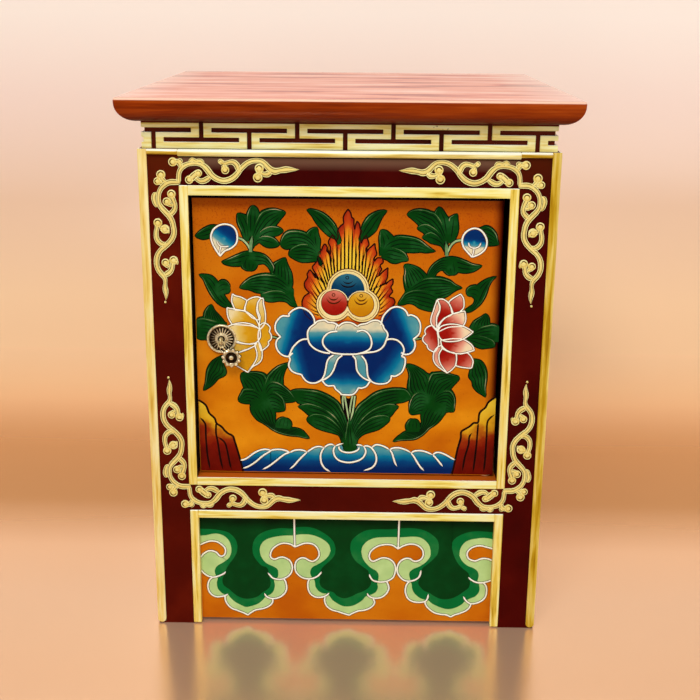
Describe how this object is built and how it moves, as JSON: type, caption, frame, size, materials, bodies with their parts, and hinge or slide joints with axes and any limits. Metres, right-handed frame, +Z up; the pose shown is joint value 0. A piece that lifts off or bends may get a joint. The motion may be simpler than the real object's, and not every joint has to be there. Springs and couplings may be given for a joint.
{
  "type": "nightstand",
  "caption": "Painted bedside cabinet with a framed body, a picture door on pivot pins, a key-fret frieze, a cloud apron and a moulded wooden top.",
  "frame": {"origin": "on the floor under the middle of the top board", "axes": "+Z up, +X to the viewer's right, -Y towards the viewer, out of the door"},
  "size_m": [0.456, 0.436, 0.581],
  "materials": {
    "varnished_wood": "red-brown wood under a glossy varnish, grain along the width",
    "maroon_paint": "dark maroon paint, satin",
    "gilding": "brushed gold paint over wood and gesso, satin, worn in streaks",
    "orange_paint": "speckled orange paint, satin, with a painted picture",
    "green_paint": "green, pale green and orange paint in cloud bands, satin",
    "white_line_paint": "cream line paint, slightly raised, satin",
    "blue_paint": "blue paint shaded from navy to pale teal, satin",
    "red_paint": "red and pink paint, shaded, satin",
    "yellow_paint": "yellow and cream paint, shaded, satin",
    "bare_wood": "bare planed softwood",
    "brass": "cast brass with dark patina in the hollows",
    "steel": "zinc-plated steel"
  },
  "bodies": {
    "cabinet": {"top_board": "varnished_wood", "top_cleat_left": "bare_wood", "top_cleat_right": "bare_wood", "top_screws": "steel", "frieze_front": "maroon_paint", "frieze_back": "maroon_paint", "frieze_left": "maroon_paint", "frieze_right": "maroon_paint", "fret_front": "gilding", "fret_left": "gilding", "fret_right": "gilding", "frieze_dowels": "bare_wood", "post_front_left": "maroon_paint", "post_front_right": "maroon_paint", "post_rear_left": "maroon_paint", "post_rear_right": "maroon_paint", "corner_strip_left": "gilding", "corner_strip_right": "gilding", "rail_front_top": "maroon_paint", "rail_front_bottom": "maroon_paint", "rail_rear_top": "maroon_paint", "rail_rear_bottom": "maroon_paint", "rail_left_top": "maroon_paint", "rail_left_bottom": "maroon_paint", "rail_right_top": "maroon_paint", "rail_right_bottom": "maroon_paint", "bead_front": "gilding", "bead_post_left": "gilding", "bead_post_right": "gilding", "lining_left": "gilding", "lining_right": "gilding", "lining_top": "gilding", "lining_bottom": "gilding", "apron_strip_left": "gilding", "apron_strip_right": "gilding", "apron_strip_top": "gilding", "apron_front": "green_paint", "apron_left": "maroon_paint", "apron_right": "maroon_paint", "side_panel_left": "maroon_paint", "side_panel_right": "maroon_paint", "back_panel": "bare_wood", "cabinet_floor": "bare_wood", "door_stop": "maroon_paint", "catch": "steel", "pivot_bush_top": "brass", "pivot_bush_bottom": "brass"},
    "door": {"door_panel": "orange_paint", "door_battens": "bare_wood", "catch_plate": "steel", "pivot_pin_top": "brass", "pivot_pin_bottom": "brass", "pull_rosette": "brass", "pull_eye": "brass", "pull_nut": "brass"},
    "pull_link": {"pull_link": "brass"},
    "pull_drop": {"pull_drop": "brass"}
  },
  "joints": [
    {"name": "door_hinge", "type": "hinge", "parent": "cabinet", "child": "door", "pos_m": [0.15, -0.18, 0.331], "axis": [0, 0, 1], "range_deg": [0, 95]},
    {"name": "pull_swing", "type": "hinge", "parent": "door", "child": "pull_link", "pos_m": [-0.1323, -0.1965, 0.328], "axis": [0, -1, 0], "range_deg": [-85, 20]},
    {"name": "pull_lift", "type": "hinge", "parent": "pull_link", "child": "pull_drop", "pos_m": [-0.12978, -0.1965, 0.3244], "axis": [-0.8192, 0, -0.5736], "range_deg": [-4, 90]}
  ]
}
